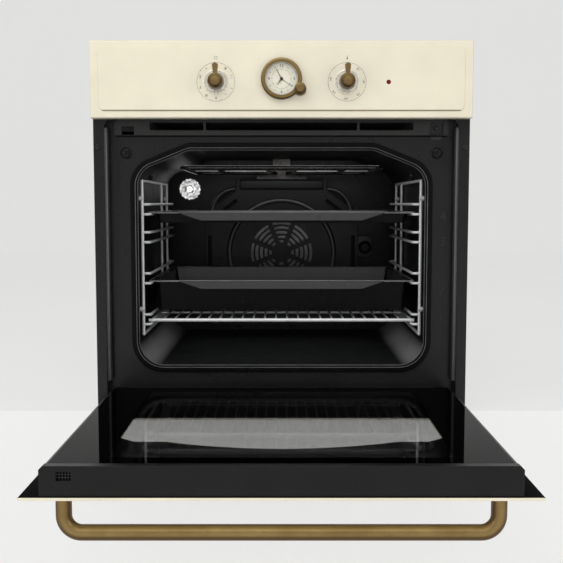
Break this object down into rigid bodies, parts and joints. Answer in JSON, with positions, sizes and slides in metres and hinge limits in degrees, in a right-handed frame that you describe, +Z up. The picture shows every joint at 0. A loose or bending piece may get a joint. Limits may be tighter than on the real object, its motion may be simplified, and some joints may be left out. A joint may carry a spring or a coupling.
{
  "type": "built-in oven",
  "caption": "Built-in oven in country style: cream front, drop-down glazed door with a bent brass handle, knobs, round clock, and an enamelled cavity with wire racks, trays and fan.",
  "frame": {"origin": "middle of the front edge of the shelf that carries the oven: the cabinet's front plane, at the underside of the base pan", "axes": "+X to the right seen from the front, +Y into the cabinet, +Z up"},
  "size_m": [0.595, 1.01, 0.6455],
  "materials": {
    "cream_enamel": "smooth cream enamel, satin gloss",
    "black_enamel": "black stove enamel, semi gloss",
    "tray_enamel": "black enamel with a fine speckle",
    "galvanised": "zinc-coated sheet",
    "antique_brass": "brushed antique brass",
    "chrome_wire": "bright chromed wire",
    "element_steel": "heat-darkened steel tube",
    "plain_steel": "plain sheet steel",
    "black_plastic": "fine-grained black plastic",
    "pale_plastic": "pale technical plastic",
    "seal_braid": "black glass-fibre braid",
    "buffer_rubber": "matt rubber",
    "mineral_wool": "felted mineral wool",
    "window_glass": "clear tempered glass",
    "inner_glass": "dark reflective glass with a printed border",
    "lamp_glass": "clear pressed glass",
    "lamp_ceramic": "white glazed body",
    "red_lens": "clear red plastic",
    "white_dial": "matt white print",
    "black_hand": "black lacquer"
  },
  "bodies": {
    "oven_body": {"control_panel": "cream_enamel", "dial_collars": "cream_enamel", "front_frame": "black_enamel", "vent_trim": "black_enamel", "cavity_liner": "black_enamel", "cavity_back": "black_enamel", "fan_cover": "black_enamel", "rear_cap": "black_enamel", "base_pan": "galvanised", "side_panels": "galvanised", "top_cover": "galvanised", "rear_cover": "galvanised", "duct_shelf": "galvanised", "cooling_duct": "galvanised", "clock_bezel": "antique_brass", "rack_left": "chrome_wire", "rack_right": "chrome_wire", "ring_element": "element_steel", "grill_element": "element_steel", "bottom_element": "element_steel", "grill_bracket": "element_steel", "casing_screws": "plain_steel", "convection_motor": "plain_steel", "cooling_fan_motor": "plain_steel", "hinge_arms": "plain_steel", "hinge_receivers": "plain_steel", "door_switch": "black_plastic", "terminal_box": "black_plastic", "clock_movement": "black_plastic", "selector_switch": "pale_plastic", "thermostat": "pale_plastic", "door_seal": "seal_braid", "door_buffers": "buffer_rubber", "insulation": "mineral_wool", "clock_glass": "window_glass", "lamp_glass": "lamp_glass", "lamp_socket": "lamp_ceramic", "indicator_lens": "red_lens", "clock_dial": "white_dial"},
    "door": {"door_outer_panel": "cream_enamel", "door_window_glass": "window_glass", "door_middle_glass": "window_glass", "door_inner_glass": "inner_glass", "door_top_profile": "black_enamel", "door_side_profiles": "black_enamel", "door_bottom_profile": "black_enamel", "hinge_bodies": "plain_steel", "hinge_pins": "plain_steel", "door_handle": "antique_brass"},
    "function_knob": {"function_knob": "antique_brass"},
    "temperature_knob": {"temperature_knob": "antique_brass"},
    "clock_setting_knob": {"clock_setting_knob": "antique_brass"},
    "minute_hand": {"minute_hand": "black_hand"},
    "hour_hand": {"hour_hand": "black_hand"},
    "door_switch_plunger": {"door_switch_plunger": "black_plastic"},
    "convection_fan": {"convection_fan_wheel": "plain_steel"},
    "cooling_fan": {"cooling_fan_wheel": "black_plastic"},
    "baking_tray": {"baking_tray": "tray_enamel"},
    "deep_pan": {"deep_pan": "tray_enamel"},
    "wire_shelf": {"wire_shelf": "chrome_wire"}
  },
  "joints": [
    {"name": "door_hinge", "type": "hinge", "parent": "oven_body", "child": "door", "pos_m": [0, -0.005, 0.021], "axis": [1, 0, 0], "range_deg": [-90, 0]},
    {"name": "function_knob_turn", "type": "hinge", "parent": "oven_body", "child": "function_knob", "pos_m": [-0.1015, -0.04, 0.524], "axis": [0, 1, 0], "continuous": true},
    {"name": "temperature_knob_turn", "type": "hinge", "parent": "oven_body", "child": "temperature_knob", "pos_m": [0.1015, -0.04, 0.524], "axis": [0, 1, 0], "range_deg": [0, 280]},
    {"name": "clock_setting_knob_turn", "type": "hinge", "parent": "oven_body", "child": "clock_setting_knob", "pos_m": [0.02877, -0.036, 0.51255], "axis": [0, 1, 0], "continuous": true},
    {"name": "minute_hand_turn", "type": "hinge", "parent": "oven_body", "child": "minute_hand", "pos_m": [0, -0.027, 0.5285], "axis": [0, 1, 0], "continuous": true},
    {"name": "hour_hand_turn", "type": "hinge", "parent": "oven_body", "child": "hour_hand", "pos_m": [0, -0.026, 0.5285], "axis": [0, 1, 0], "continuous": true},
    {"name": "door_switch_press", "type": "slide", "parent": "oven_body", "child": "door_switch_plunger", "axis": [0, 1, 0], "range_m": [0, 0.004], "stiffness_N_per_m": 250, "springref_m": -0.002},
    {"name": "convection_fan_spin", "type": "hinge", "parent": "oven_body", "child": "convection_fan", "pos_m": [0, 0.45, 0.2347], "axis": [0, 1, 0], "continuous": true},
    {"name": "cooling_fan_spin", "type": "hinge", "parent": "oven_body", "child": "cooling_fan", "pos_m": [0, 0.33, 0.47], "axis": [0, 0, 1], "continuous": true},
    {"name": "baking_tray_slide", "type": "slide", "parent": "oven_body", "child": "baking_tray", "axis": [0, -1, 0], "range_m": [0, 0.3]},
    {"name": "deep_pan_slide", "type": "slide", "parent": "oven_body", "child": "deep_pan", "axis": [0, -1, 0], "range_m": [0, 0.3]},
    {"name": "wire_shelf_slide", "type": "slide", "parent": "oven_body", "child": "wire_shelf", "axis": [0, -1, 0], "range_m": [0, 0.3]}
  ],
  "couplings": [
    {"joint": "minute_hand_turn", "follows": "clock_setting_knob_turn", "ratio": 1},
    {"joint": "hour_hand_turn", "follows": "clock_setting_knob_turn", "ratio": 0.083333}
  ]
}
